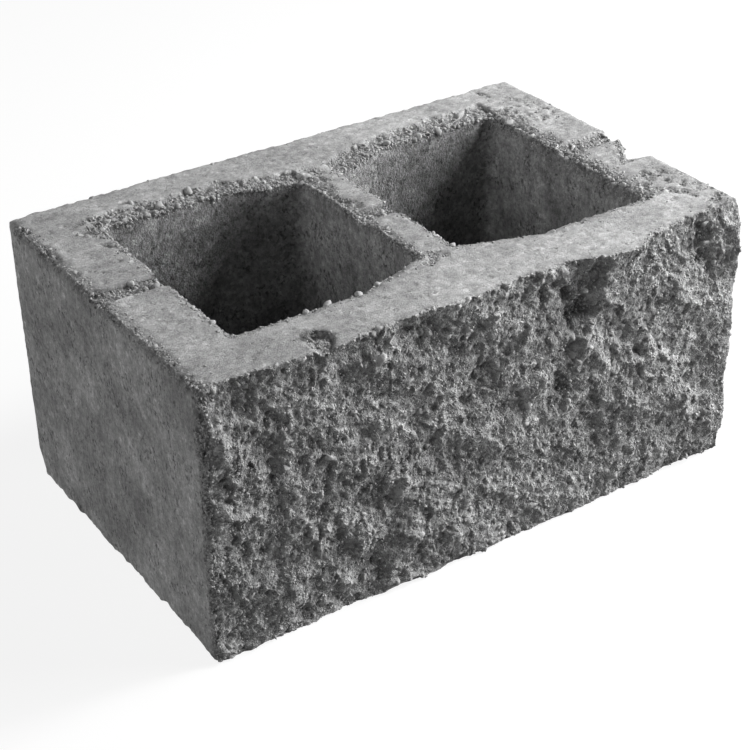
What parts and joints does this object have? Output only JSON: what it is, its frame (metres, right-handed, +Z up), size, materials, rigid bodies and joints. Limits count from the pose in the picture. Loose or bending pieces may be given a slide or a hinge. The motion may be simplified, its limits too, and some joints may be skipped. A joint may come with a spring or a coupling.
{
  "type": "split-face concrete block",
  "caption": "Hollow concrete masonry block with a rough split front face, flat moulded ends, rear and beds, flared tapering cores, a core-bar slot and an end groove.",
  "frame": {"origin": "middle of the bottom bed, on the level that the block stands on", "axes": "+X along the length towards the end with the groove, +Y from the split face to the rear face, +Z up"},
  "size_m": [0.39, 0.257, 0.188],
  "materials": {
    "concrete": "rough grey cast concrete, pressed smooth on the beds, with open gravel at the cores and broken aggregate on the split face"
  },
  "bodies": {
    "root": {"concrete_block": "concrete"}
  },
  "joints": []
}
